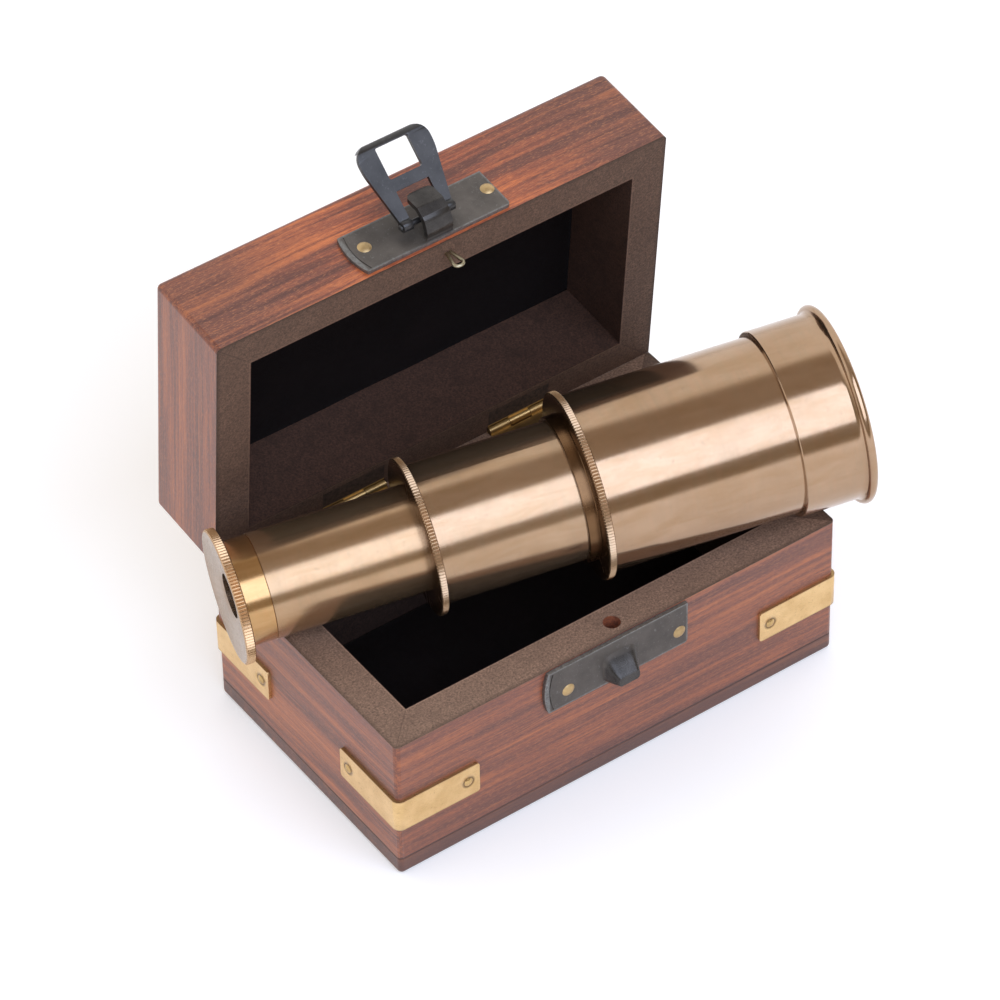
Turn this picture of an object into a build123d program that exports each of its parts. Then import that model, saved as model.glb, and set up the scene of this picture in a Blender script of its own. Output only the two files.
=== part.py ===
from build123d import *
import math
import os

# A brass kaleidoscope with three draws, lying across its own open wooden case.
# Millimetres, +Z up, X along the case's front, Y towards its back. The origin is the centre of the
# case's underside. The lid is modelled open, and the scope drawn out, lying on the case's two end walls.

os.makedirs("parts", exist_ok=True)

# ---- driving dimensions: the case ----
case_length = 100.0
case_depth = 59.2
wall = 7.4
corner_radius = 1.0
bottom_board = 4.0
velvet = 0.8
joint_plane = 33.3  # height of the hinge axis, midway between the two rims
rim_gap = 0.15  # each rim stands this far from the joint plane
lid_height = 20.3
lid_panel_thickness = 2.6
lid_open_angle = 84.6
top_arris = 1.2
bottom_arris = 0.9
rear_bevel = 45.0

# ---- driving dimensions: straps, nails and hinges ----
strap_low = 12.1
strap_high = 19.4
strap_leg = 17.8
strap_thickness = 0.6
strap_nail_offset = 15.3
hinge_inset = 0.9  # the hinge axis lies this far inside the back face
hinge_length = 14.0
hinge_spacing = 38.0
hinge_barrel_radius = 1.0
hinge_pin_radius = 0.45
hinge_bore_radius = 0.5
leaf_thickness = 0.6
leaf_reach = 5.2
leaf_relief = 1.25  # a leaf stops this far from the axis beside the other leaf's knuckle
middle_knuckle = 4.6
knuckle_gap = 0.1

# ---- driving dimensions: latch ----
latch_x = -0.9
plate_x = -0.8
plate_length = 31.7
plate_height = 10.0
plate_thickness = 0.8
plate_bulge = 0.9
lid_plate_low = 0.9
catch_plate_low = 22.8
pin_height = 5.0  # above the joint plane, with the lid shut
pin_reach = 3.0  # out from the front face
pin_radius = 0.6
pin_bore = 0.65
tongue_width = 5.7
tongue_shift = 0.5  # the tongue stands a little to the right of the hasp's middle
hasp_rest_angle = 35.5  # between the hasp and the lid's front face
hasp_thickness = 0.9
hasp_foot_half = 5.65
hasp_wide_half = 7.8
hasp_window_half = 3.6
hasp_notch_end = 6.3
hasp_window_start = 8.7
hasp_window_end = 15.0
hasp_lip_start = 15.2
hasp_eye_radius = 1.1

# ---- driving dimensions: scope, as stations from the eyepiece's outer face and radii ----
scope_yaw = -16.1
scope_pitch = 4.5
scope_crossing = (0.0, -4.15, 47.7)  # where the scope's axis crosses the case's middle plane
crossing_station = 60.9
tube_wall = 0.5
slide_fit = 0.05
cap_end = 1.9
cap_radius = 12.9
eye_hole_radius = 4.3
dish_depth = 1.1
collar_end = 7.0
collar_radius = 10.0
small_radius = 10.1
small_end = 43.2
middle_ring_start = 36.9
middle_ring_end = 38.4
middle_ring_radius = 15.1
middle_radius = 13.4
middle_end = 77.7
barrel_lip_start = 66.1
barrel_lip_radius = 14.1
barrel_ring_start = 68.4
barrel_ring_end = 70.0
barrel_ring_radius = 18.1
barrel_radius = 17.1
barrel_wall = 0.6
barrel_end = 112.0
bush_length = 2.3
bush_gap = 0.3
sleeve_start = 107.3
sleeve_end = 118.3
sleeve_radius = 18.0
sleeve_bore = 17.15
bead_centre = 120.1
bead_radius = 0.9
bead_middle = 18.4
scope_end = 121.0
mirror_start = 10.4
mirror_end = 41.8
mirror_thickness = 1.0
mirror_inner = 4.4  # from the axis to a mirror's face
mirror_half_width = 7.5
chip_radius = 1.7
chip_pitch = 3.8

# ---- frames ----
front_y = -case_depth / 2
back_y = case_depth / 2
hinge_y = back_y - hinge_inset
base_rim = joint_plane - rim_gap

open_radians = math.radians(lid_open_angle)
lid_up = Vector(0, math.sin(open_radians), math.cos(open_radians))
lid_back = Vector(0, math.cos(open_radians), -math.sin(open_radians))
lid_hinge_frame = Plane(origin=(0, hinge_y, joint_plane), x_dir=(1, 0, 0), z_dir=lid_up)
# The lid's own frame: X and Y as in the shut case, Z up from the joint plane.
lid_frame = Plane(lid_hinge_frame.from_local_coords((0, -hinge_y, 0)), x_dir=(1, 0, 0), z_dir=lid_up)


def on_lid(x, y, z):
    """Return the place of a point given as it is with the lid shut, z being above the joint plane."""
    return lid_frame.from_local_coords((x, y, z))


base_front = Plane(origin=(0, front_y, 0), x_dir=(1, 0, 0), z_dir=(0, -1, 0))
lid_front = Plane(origin=on_lid(0, front_y, 0), x_dir=(1, 0, 0), z_dir=-lid_back)
# Side-on frames, whose first axis is Y and second is Z, for profiles that run along X.
base_side = Plane(origin=(0, 0, 0), x_dir=(0, 1, 0), z_dir=(1, 0, 0))
lid_side = Plane(origin=on_lid(0, 0, 0), x_dir=lid_back, z_dir=(1, 0, 0))


# ---- shared outlines ----
def mitred_outline(side):
    """Draw the mitred plan of one wall of the case, with its outer corners rounded."""
    out_x = case_length / 2
    out_y = case_depth / 2
    in_x = out_x - wall
    in_y = out_y - wall
    corners = {
        "front": [(-out_x, -out_y), (out_x, -out_y), (in_x, -in_y), (-in_x, -in_y)],
        "back": [(-out_x, out_y), (-in_x, in_y), (in_x, in_y), (out_x, out_y)],
        "left": [(-out_x, -out_y), (-in_x, -in_y), (-in_x, in_y), (-out_x, out_y)],
        "right": [(out_x, -out_y), (out_x, out_y), (in_x, in_y), (in_x, -in_y)],
    }
    with BuildLine() as mitre:
        Polyline(*corners[side], close=True)
    make_face(mitre.edges())
    RectangleRounded(case_length, case_depth, corner_radius, mode=Mode.INTERSECT)


def rear_bevel_outline(side):
    """Draw the wedge cut from a rim behind the hinge axis, below it (-1) or above it (1)."""
    reach = 3.0
    drop = reach * math.tan(math.radians(rear_bevel))
    with BuildLine() as wedge:
        Polyline((hinge_y, 0), (hinge_y + reach, 0), (hinge_y + reach, side * drop), close=True)
    make_face(wedge.edges())


def domed_nail(seat, head_radius, head_height, shank_radius, shank_length):
    """Add a nail whose domed head sits on the seat's plane and whose shank runs into it."""
    dome = (head_radius**2 + head_height**2) / (2 * head_height)
    half_turn = math.asin(head_radius / dome) / 2
    middle = (dome * math.sin(half_turn), head_height - dome + dome * math.cos(half_turn))
    with BuildSketch(Plane(seat.origin, x_dir=seat.x_dir, z_dir=-seat.y_dir)) as half_nail:
        with BuildLine():
            Polyline((0, head_height), (0, -shank_length), (shank_radius, -shank_length))
            Polyline((shank_radius, -shank_length), (shank_radius, 0), (head_radius, 0))
            ThreePointArc((head_radius, 0), middle, (0, head_height))
        make_face()
    revolve(half_nail.sketch, axis=Axis(seat.origin, seat.z_dir))


def seat_on(face, x, y, height=0.0):
    """Return the plane of a nail's seat at a point of a face, raised by a height."""
    return Plane(face.from_local_coords((x, y, height)), x_dir=face.x_dir, z_dir=face.z_dir)


# ---- strap nails, rivets and hinge nails: made first, because the pieces they hold are bored for them ----
base_left = Plane(origin=(-case_length / 2, 0, 0), x_dir=(0, -1, 0), z_dir=(-1, 0, 0))
base_right = Plane(origin=(case_length / 2, 0, 0), x_dir=(0, 1, 0), z_dir=(1, 0, 0))
base_back = Plane(origin=(0, back_y, 0), x_dir=(-1, 0, 0), z_dir=(0, 1, 0))
strap_middle = (strap_low + strap_high) / 2

with BuildPart() as strap_nails:
    for face, half in ((base_front, case_length / 2), (base_back, case_length / 2)):
        for side in (-1, 1):
            seat = seat_on(face, side * (half - strap_nail_offset), strap_middle, strap_thickness)
            domed_nail(seat, 0.95, 0.35, 0.4, 4.5)
    for face, half in ((base_left, case_depth / 2), (base_right, case_depth / 2)):
        for side in (-1, 1):
            seat = seat_on(face, side * (half - strap_nail_offset), strap_middle, strap_thickness)
            domed_nail(seat, 0.95, 0.35, 0.4, 4.5)
strap_nails.part.label = "strap_nails"
export_step(strap_nails.part, "parts/strap_nails.step")

with BuildPart() as catch_rivets:
    for x in (-12.2, 13.15):
        domed_nail(seat_on(base_front, x, 26.4, plate_thickness), 1.35, 0.5, 0.6, 5.0)
catch_rivets.part.label = "catch_rivets"
export_step(catch_rivets.part, "parts/catch_rivets.step")

with BuildPart() as latch_rivets:
    for x in (-13.75, 13.6):
        domed_nail(seat_on(lid_front, x, 6.4, plate_thickness), 1.35, 0.5, 0.6, 5.0)
latch_rivets.part.label = "latch_rivets"
export_step(latch_rivets.part, "parts/latch_rivets.step")

hinge_centres = {"left": -hinge_spacing / 2, "right": hinge_spacing / 2}
hinge_nail_y = hinge_y - 3.4
with BuildPart() as hinge_base_nails:
    for centre in hinge_centres.values():
        for side in (-1, 1):
            with BuildSketch(Plane.XY.offset(base_rim)):
                with Locations((centre + side * 4.6, hinge_nail_y)):
                    Circle(0.8)
            extrude(amount=-0.35)
            with BuildSketch(Plane.XY.offset(base_rim - 0.35)):
                with Locations((centre + side * 4.6, hinge_nail_y)):
                    Circle(0.4)
            extrude(amount=-4.0)
hinge_base_nails.part.label = "hinge_base_nails"
export_step(hinge_base_nails.part, "parts/hinge_base_nails.step")

with BuildPart() as hinge_lid_nails:
    for centre in hinge_centres.values():
        for side in (-1, 1):
            with BuildSketch(lid_frame.offset(rim_gap)):
                with Locations((centre + side * 4.6, hinge_nail_y)):
                    Circle(0.8)
            extrude(amount=0.35)
            with BuildSketch(lid_frame.offset(rim_gap + 0.35)):
                with Locations((centre + side * 4.6, hinge_nail_y)):
                    Circle(0.4)
            extrude(amount=4.0)
hinge_lid_nails.part.label = "hinge_lid_nails"
export_step(hinge_lid_nails.part, "parts/hinge_lid_nails.step")


# ---- hinges: two brass butt hinges let into the rims ----
def hinge_leaf(side, knuckle_spans):
    """Add one leaf: a plate on the given side of the joint plane, joined to its knuckles."""
    low = rim_gap + leaf_thickness / 2
    with Locations((0, -(leaf_reach + leaf_relief) / 2, side * low)):
        Box(hinge_length, leaf_reach - leaf_relief, leaf_thickness)
    for start, end in knuckle_spans:
        with Locations(((start + end) / 2, -leaf_relief / 2, side * low)):
            Box(end - start, leaf_relief, leaf_thickness)
        with Locations(((start + end) / 2, 0, 0)):
            Cylinder(hinge_barrel_radius, end - start, rotation=(0, 90, 0))
    Cylinder(hinge_bore_radius, hinge_length + 1, rotation=(0, 90, 0), mode=Mode.SUBTRACT)


outer_spans = [
    (-hinge_length / 2, -middle_knuckle / 2 - knuckle_gap),
    (middle_knuckle / 2 + knuckle_gap, hinge_length / 2),
]
middle_span = [(-middle_knuckle / 2, middle_knuckle / 2)]

for name, centre in hinge_centres.items():
    base_hinge_frame = Plane(origin=(centre, hinge_y, joint_plane), x_dir=(1, 0, 0), z_dir=(0, 0, 1))
    with BuildPart() as base_leaf:
        with Locations(base_hinge_frame):
            hinge_leaf(-1, outer_spans)
        add(hinge_base_nails.part, mode=Mode.SUBTRACT)
    base_leaf.part.label = f"hinge_base_leaf_{name}"
    export_step(base_leaf.part, f"parts/hinge_base_leaf_{name}.step")

    lid_leaf_frame = Plane(origin=(centre, hinge_y, joint_plane), x_dir=(1, 0, 0), z_dir=lid_up)
    with BuildPart() as lid_leaf:
        with Locations(lid_leaf_frame):
            hinge_leaf(1, middle_span)
        add(hinge_lid_nails.part, mode=Mode.SUBTRACT)
    lid_leaf.part.label = f"hinge_lid_leaf_{name}"
    export_step(lid_leaf.part, f"parts/hinge_lid_leaf_{name}.step")

    with BuildPart(base_hinge_frame) as hinge_pin:
        Cylinder(hinge_pin_radius, hinge_length, rotation=(0, 90, 0))
    hinge_pin.part.label = f"hinge_pin_{name}"
    export_step(hinge_pin.part, f"parts/hinge_pin_{name}.step")


def hinge_sockets(frame, side):
    """Cut the recesses for both hinges from a wall, below the joint plane (-1) or above it (1)."""
    depth = rim_gap + leaf_thickness
    for centre in hinge_centres.values():
        with BuildSketch(frame) as leaf_recess:
            with Locations((centre, hinge_y - leaf_reach / 2)):
                Rectangle(hinge_length, leaf_reach)
        extrude(leaf_recess.sketch, amount=side * depth, mode=Mode.SUBTRACT)
        barrel_end_plane = Plane(
            frame.from_local_coords((centre, hinge_y, 0)), x_dir=frame.y_dir, z_dir=(1, 0, 0)
        )
        with BuildSketch(barrel_end_plane) as barrel_slot:
            Circle(hinge_barrel_radius + 0.15)
        extrude(barrel_slot.sketch, amount=hinge_length / 2 + 0.2, both=True, mode=Mode.SUBTRACT)


# ---- base: four mitred walls on a bottom board, lined with velvet ----
loop_x = 0.6
loop_y = front_y + 3.2
locating_hole_radius = 1.7
locating_hole_depth = 6.0

for side in ("front", "back", "left", "right"):
    with BuildPart() as base_wall:
        with BuildSketch(Plane.XY.offset(bottom_board)):
            mitred_outline(side)
        extrude(amount=base_rim - bottom_board)
        joint_height = base_side.from_local_coords((0, joint_plane, 0))
        with BuildSketch(Plane(joint_height, x_dir=(0, 1, 0), z_dir=(1, 0, 0))):
            rear_bevel_outline(-1)
        extrude(amount=case_length, both=True, mode=Mode.SUBTRACT)
        add(strap_nails.part, mode=Mode.SUBTRACT)
        if side == "back":
            hinge_sockets(Plane.XY.offset(joint_plane), -1)
            add(hinge_base_nails.part, mode=Mode.SUBTRACT)
        if side == "front":
            add(catch_rivets.part, mode=Mode.SUBTRACT)
            with BuildSketch(Plane.XY.offset(base_rim)):
                with Locations((loop_x, loop_y)):
                    Circle(locating_hole_radius)
            extrude(amount=-locating_hole_depth, mode=Mode.SUBTRACT)
    base_wall.part.label = f"base_wall_{side}"
    export_step(base_wall.part, f"parts/base_wall_{side}.step")

with BuildPart() as base_bottom_board:
    with BuildSketch():
        RectangleRounded(case_length, case_depth, corner_radius)
    extrude(amount=bottom_board)
    fillet(faces().sort_by(Axis.Z)[0].edges(), bottom_arris)
    fillet(faces().sort_by(Axis.Z)[-1].edges(), 0.4)
base_bottom_board.part.label = "base_bottom_board"
export_step(base_bottom_board.part, "parts/base_bottom_board.step")

with BuildPart() as base_velvet:
    with BuildSketch(Plane.XY.offset(bottom_board)):
        Rectangle(case_length - 2 * wall - 0.2, case_depth - 2 * wall - 0.2)
    extrude(amount=velvet)
base_velvet.part.label = "base_velvet"
export_step(base_velvet.part, "parts/base_velvet.step")

# ---- brass straps round the base's four corners ----
for x_side, x_name in ((-1, "left"), (1, "right")):
    for y_side, y_name in ((-1, "front"), (1, "rear")):
        with BuildPart() as corner_strap:
            with BuildSketch(Plane.XY.offset(strap_low)):
                strap_grow = 2 * strap_thickness
                RectangleRounded(
                    case_length + strap_grow, case_depth + strap_grow, corner_radius + strap_thickness
                )
                RectangleRounded(case_length, case_depth, corner_radius, mode=Mode.SUBTRACT)
                with Locations((x_side * case_length / 2, y_side * case_depth / 2)):
                    Rectangle(2 * strap_leg, 2 * strap_leg, mode=Mode.INTERSECT)
            extrude(amount=strap_high - strap_low)
            short_edges = edges().filter_by(lambda edge: edge.length < strap_thickness * 1.5)
            fillet(short_edges.filter_by(Axis.X) + short_edges.filter_by(Axis.Y), 0.7)
            add(strap_nails.part, mode=Mode.SUBTRACT)
        corner_strap.part.label = f"corner_strap_{y_name}_{x_name}"
        export_step(corner_strap.part, f"parts/corner_strap_{y_name}_{x_name}.step")


# ---- latch: two blackened plates, a hasp on a pin, and a nose that it drops over ----
def latch_plate_outline(low):
    """Draw a plate with a bulged left end and a square right end whose lower corner is rounded."""
    left = plate_x - plate_length / 2
    right = plate_x + plate_length / 2
    high = low + plate_height
    with BuildLine() as plate_edge:
        ThreePointArc((left, high), (left - plate_bulge, (low + high) / 2), (left, low))
        Polyline((left, low), (right - 0.8, low))
        TangentArc((right - 0.8, low), (right, low + 0.8), tangent=(1, 0))
        Polyline((right, low + 0.8), (right, high), (left, high))
    make_face(plate_edge.edges())


def engraved_arc(low):
    """Draw the fine line engraved just inside a plate's bulged end."""
    left = plate_x - plate_length / 2 + 1.0
    with BuildLine() as engraved_line:
        ThreePointArc(
            (left, low + plate_height - 0.5),
            (left - plate_bulge + 0.1, low + plate_height / 2),
            (left, low + 0.5),
        )
    trace(engraved_line.edges(), line_width=0.25)


# the nose's sections: how far out, how wide, and their lower and upper heights
nose_sections = [(0.4, 8.2, 22.9, 30.6), (2.2, 6.3, 23.4, 27.9), (4.0, 4.6, 23.9, 26.0)]
nose_shift = 0.35
nose_corner = 0.3
with BuildPart() as catch_plate:
    with BuildSketch(base_front):
        latch_plate_outline(catch_plate_low)
    extrude(amount=plate_thickness)
    with BuildSketch(base_front.offset(plate_thickness)):
        engraved_arc(catch_plate_low)
    extrude(amount=-0.15, mode=Mode.SUBTRACT)
    # the nose: a bump that narrows outwards and hangs low, so that the hasp rides down over it
    for reach, width, low, high in nose_sections:
        with BuildSketch(base_front.offset(reach)):
            with Locations((latch_x + nose_shift, (low + high) / 2)):
                RectangleRounded(width, high - low, nose_corner * (high - low))
    loft()
    add(catch_rivets.part, mode=Mode.SUBTRACT)
catch_plate.part.label = "catch_plate"
export_step(catch_plate.part, "parts/catch_plate.step")

pin_centre = on_lid(latch_x, front_y - pin_reach, pin_height)
with BuildPart(Plane(pin_centre, x_dir=(1, 0, 0), z_dir=-lid_back)) as latch_pin:
    Cylinder(pin_radius, 2 * hasp_foot_half + 1.0, rotation=(0, 90, 0))
    fillet(edges().filter_by(GeomType.CIRCLE), 0.35)
latch_pin.part.label = "latch_pin"
export_step(latch_pin.part, "parts/latch_pin.step")

tongue_x = latch_x + tongue_shift
tongue_centre = lid_side.offset(tongue_x)
with BuildPart() as latch_plate:
    with BuildSketch(lid_front):
        latch_plate_outline(lid_plate_low)
    extrude(amount=plate_thickness)
    with BuildSketch(lid_front.offset(plate_thickness)):
        engraved_arc(lid_plate_low)
    extrude(amount=-0.15, mode=Mode.SUBTRACT)
    # the tongue: bent out of the plate below the pin, curled up in front of it, with a free flap
    with BuildSketch(tongue_centre):
        with BuildLine():
            outer_curl = FilletPolyline(
                (front_y, 1.4),
                (front_y - 2.4, 1.4),
                (front_y - 5.0, 2.6),
                (front_y - 6.2, 5.0),
                (front_y - 6.0, 9.0),
                radius=(2.0, 2.0, 0.7),
            )
            inner_curl = FilletPolyline(
                (front_y - 5.0, 9.0),
                (front_y - 5.15, 5.4),
                (front_y - 4.2, 3.6),
                (front_y - 2.1, 2.5),
                (front_y, 2.5),
                radius=(0.8, 1.4, 1.0),
            )
            Line(outer_curl @ 1, inner_curl @ 0)
            Line(inner_curl @ 1, outer_curl @ 0)
        make_face()
    extrude(amount=tongue_width / 2, both=True)
    flap_end = edges().filter_by(
        lambda edge: lid_front.to_local_coords(edge.center()).Z > 4.5
        and lid_front.to_local_coords(edge.center()).Y > 8.9
    )
    flap_corners = flap_end.filter_by(
        lambda edge: abs(lid_front.to_local_coords(edge.center()).X - tongue_x) > tongue_width / 2 - 0.1
    )
    fillet(flap_corners, 1.3)
    add(latch_pin.part, mode=Mode.SUBTRACT)
    add(latch_rivets.part, mode=Mode.SUBTRACT)
latch_plate.part.label = "latch_plate"
export_step(latch_plate.part, "parts/latch_plate.step")

hasp_radians = math.radians(hasp_rest_angle)
hasp_along = lid_back * -math.sin(hasp_radians) + lid_up * math.cos(hasp_radians)
hasp_out = lid_back * math.cos(hasp_radians) + lid_up * math.sin(hasp_radians)
# The hasp's plan has X across it and Y away from the pin. Its profile has X away from the pin.
hasp_plan = Plane(pin_centre, x_dir=(-1, 0, 0), z_dir=hasp_out)
hasp_profile = Plane(pin_centre, x_dir=hasp_along, z_dir=(-1, 0, 0))
hasp_half_thickness = hasp_thickness / 2
with BuildPart() as hasp:
    with BuildSketch(hasp_profile):
        with BuildLine():
            Line((0, -hasp_half_thickness), (hasp_lip_start, -hasp_half_thickness))
            TangentArc(
                (hasp_lip_start, -hasp_half_thickness),
                (hasp_lip_start + 1.2, 1.2 - hasp_half_thickness),
                tangent=(1, 0),
            )
            Polyline(
                (hasp_lip_start + 1.2, 1.2 - hasp_half_thickness),
                (hasp_lip_start + 1.2, 1.6),
                (hasp_lip_start + 0.3, 1.6),
                (hasp_lip_start + 0.3, 0.3 + hasp_half_thickness),
            )
            TangentArc(
                (hasp_lip_start, hasp_half_thickness),
                (hasp_lip_start + 0.3, 0.3 + hasp_half_thickness),
                tangent=(1, 0),
            )
            Polyline(
                (hasp_lip_start, hasp_half_thickness),
                (0, hasp_half_thickness),
                (0, -hasp_half_thickness),
            )
        make_face()
    extrude(amount=hasp_wide_half + 1, both=True)
    with BuildSketch(hasp_plan):
        with BuildLine():
            FilletPolyline(
                (-hasp_foot_half, -1.0),
                (-hasp_foot_half, 0.6),
                (-hasp_wide_half, 11.5),
                (-hasp_wide_half, hasp_lip_start + 1.25),
                (hasp_wide_half, hasp_lip_start + 1.25),
                (hasp_wide_half, 11.5),
                (hasp_foot_half, 0.6),
                (hasp_foot_half, -1.0),
                radius=(4.0, 12.0, 3.2, 3.2, 12.0, 4.0),
            )
            Line((hasp_foot_half, -1.0), (-hasp_foot_half, -1.0))
        make_face()
    extrude(amount=3.0, both=True, mode=Mode.INTERSECT)
    for side in (-1, 1):
        leg_width = hasp_foot_half - hasp_window_half
        with BuildSketch(hasp_profile.offset(side * (hasp_foot_half - leg_width / 2))):
            Circle(hasp_eye_radius)
        extrude(amount=leg_width / 2, both=True)
    with BuildSketch(hasp_plan):
        with Locations((0, (hasp_notch_end - 2.0) / 2)):
            Rectangle(2 * hasp_window_half, hasp_notch_end + 2.0)
        with Locations((0, (hasp_window_start + hasp_window_end) / 2)):
            RectangleRounded(2 * hasp_window_half, hasp_window_end - hasp_window_start, 0.4)
    extrude(amount=3.0, both=True, mode=Mode.SUBTRACT)
    with BuildSketch(hasp_profile):
        Circle(pin_bore)
    extrude(amount=hasp_wide_half, both=True, mode=Mode.SUBTRACT)
hasp.part.label = "hasp"
export_step(hasp.part, "parts/hasp.step")

# ---- lid: four mitred walls, a panel let in between them, and velvet ----
with BuildPart() as lid_envelope:
    with BuildSketch(lid_frame.offset(rim_gap)):
        RectangleRounded(case_length, case_depth, corner_radius)
    extrude(amount=lid_height - rim_gap)
    lid_top = faces().sort_by(Axis(lid_frame.origin, lid_up))[-1]
    fillet(lid_top.edges(), top_arris)

loop_root = 3.0
for side in ("front", "back", "left", "right"):
    with BuildPart() as lid_wall:
        with BuildSketch(lid_frame.offset(rim_gap)):
            mitred_outline(side)
        extrude(amount=lid_height - rim_gap)
        add(lid_envelope.part, mode=Mode.INTERSECT)
        with BuildSketch(lid_side):
            rear_bevel_outline(1)
        extrude(amount=case_length, both=True, mode=Mode.SUBTRACT)
        if side == "back":
            hinge_sockets(lid_frame, 1)
            add(hinge_lid_nails.part, mode=Mode.SUBTRACT)
        if side == "front":
            add(latch_rivets.part, mode=Mode.SUBTRACT)
            for leg in (-1, 1):
                with BuildSketch(lid_frame.offset(rim_gap)):
                    with Locations((loop_x + leg * 0.45, loop_y)):
                        Circle(0.35)
                extrude(amount=loop_root, mode=Mode.SUBTRACT)
    lid_wall.part.label = f"lid_wall_{side}"
    export_step(lid_wall.part, f"parts/lid_wall_{side}.step")

with BuildPart() as lid_panel:
    with BuildSketch(lid_frame.offset(lid_height)):
        Rectangle(case_length - 2 * wall, case_depth - 2 * wall)
    extrude(amount=-lid_panel_thickness)
lid_panel.part.label = "lid_panel"
export_step(lid_panel.part, "parts/lid_panel.step")

with BuildPart() as lid_velvet:
    with BuildSketch(lid_frame.offset(lid_height - lid_panel_thickness)):
        Rectangle(case_length - 2 * wall - 0.2, case_depth - 2 * wall - 0.2)
    extrude(amount=-velvet)
lid_velvet.part.label = "lid_velvet"
export_step(lid_velvet.part, "parts/lid_velvet.step")

# the bent wire loop that drops into the hole in the base's front rim
loop_plane = Plane(on_lid(loop_x, loop_y, rim_gap), x_dir=(1, 0, 0), z_dir=lid_back)
with BuildPart() as locating_loop:
    with BuildLine(loop_plane) as loop_path:
        FilletPolyline(
            (-0.45, -loop_root),
            (-0.45, 0.3),
            (-1.2, 4.0),
            (1.2, 4.0),
            (0.45, 0.3),
            (0.45, -loop_root),
            radius=(1.5, 0.9, 0.9, 1.5),
        )
    with BuildSketch(Plane(loop_path.line @ 0, z_dir=loop_path.line % 0)):
        Circle(0.35)
    sweep()
locating_loop.part.label = "locating_loop"
export_step(locating_loop.part, "parts/locating_loop.step")

# ---- scope ----
yaw_radians = math.radians(scope_yaw)
pitch_radians = math.radians(scope_pitch)
scope_axis = Vector(
    math.cos(pitch_radians) * math.cos(yaw_radians),
    math.cos(pitch_radians) * math.sin(yaw_radians),
    math.sin(pitch_radians),
)
scope_side = Vector(-math.sin(yaw_radians), math.cos(yaw_radians), 0)
scope_origin = Vector(*scope_crossing) - scope_axis * crossing_station
# The half section has X along the axis from the eyepiece's outer face and Y as the radius.
half_section = Plane(scope_origin, x_dir=scope_axis, z_dir=-scope_side)
turning_axis = Axis(scope_origin, scope_axis)


def across(station):
    """Return the plane square to the scope's axis at a station, with Y upwards."""
    return Plane(scope_origin + scope_axis * station, x_dir=scope_side * -1, z_dir=scope_axis)


def band(start, end, inner, outer):
    """Draw a rectangle of the half section between two stations and two radii."""
    with Locations(((start + end) / 2, (inner + outer) / 2)):
        Rectangle(end - start, outer - inner)


small_bore = small_radius - tube_wall
middle_bore = middle_radius - tube_wall
barrel_bore = barrel_radius - barrel_wall

with BuildPart() as eyepiece_cap:
    with BuildSketch(half_section):
        with BuildLine():
            Polyline(
                (dish_depth, eye_hole_radius),
                (0.15, cap_radius - 1.2),
                (0, cap_radius - 0.7),
                (0, cap_radius - 0.2),
                (0.2, cap_radius),
                (cap_end - 0.2, cap_radius),
                (cap_end, cap_radius - 0.2),
                (cap_end, small_bore - 1.0),
                (cap_end + 1.3, small_bore - 1.0),
                (cap_end + 1.3, eye_hole_radius),
                close=True,
            )
        make_face()
    revolve(axis=turning_axis)
eyepiece_cap.part.label = "eyepiece_cap"
export_step(eyepiece_cap.part, "parts/eyepiece_cap.step")

with BuildPart() as eyepiece_collar:
    with BuildSketch(half_section):
        band(cap_end, collar_end, small_bore - 1.0, collar_radius)
        band(collar_end - 0.1, mirror_start - 0.4, small_bore - 1.0, small_bore)
    revolve(axis=turning_axis)
    circles = edges().filter_by(GeomType.CIRCLE)
    chamfer(circles.filter_by(lambda edge: abs(edge.radius - collar_radius) < 0.01), 0.12)
eyepiece_collar.part.label = "eyepiece_collar"
export_step(eyepiece_collar.part, "parts/eyepiece_collar.step")

with BuildPart() as eye_glass:
    with BuildSketch(across(cap_end + 1.3)):
        Circle(small_bore - 1.0)
    extrude(amount=1.0)
eye_glass.part.label = "eye_glass"
export_step(eye_glass.part, "parts/eye_glass.step")

with BuildPart() as small_draw_tube:
    with BuildSketch(half_section):
        band(collar_end, small_end, small_bore, small_radius)
    revolve(axis=turning_axis)
small_draw_tube.part.label = "small_draw_tube"
export_step(small_draw_tube.part, "parts/small_draw_tube.step")

with BuildPart() as small_guide_bush:
    with BuildSketch(half_section):
        band(small_end - bush_length, small_end, small_radius, middle_bore - slide_fit)
    revolve(axis=turning_axis)
small_guide_bush.part.label = "small_guide_bush"
export_step(small_guide_bush.part, "parts/small_guide_bush.step")

mirror_angles = {"mirror_top": 90, "mirror_left": 210, "mirror_right": 330}
for name, angle in mirror_angles.items():
    with BuildPart() as mirror:
        with BuildSketch(across(mirror_start)):
            with Locations(Rotation(0, 0, angle)):
                with Locations((mirror_inner + mirror_thickness / 2, 0)):
                    Rectangle(mirror_thickness, 2 * mirror_half_width)
        extrude(amount=mirror_end - mirror_start)
    mirror.part.label = name
    export_step(mirror.part, f"parts/{name}.step")

pad_inner = mirror_inner + mirror_thickness + 0.05
with BuildPart() as mirror_pads:
    for angle in mirror_angles.values():
        with BuildSketch(across(mirror_start + 1.5)):
            Circle(small_bore - 0.1)
            with Locations(Rotation(0, 0, angle)):
                with Locations((pad_inner + small_bore / 2, 0)):
                    Rectangle(small_bore, 2 * mirror_half_width - 1.0, mode=Mode.INTERSECT)
        extrude(amount=mirror_end - mirror_start - 3.0)
mirror_pads.part.label = "mirror_pads"
export_step(mirror_pads.part, "parts/mirror_pads.step")

with BuildPart() as mirror_end_ring:
    with BuildSketch(half_section):
        band(mirror_end, mirror_end + 1.0, small_bore - 2.6, small_bore)
    revolve(axis=turning_axis)
mirror_end_ring.part.label = "mirror_end_ring"
export_step(mirror_end_ring.part, "parts/mirror_end_ring.step")

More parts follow.
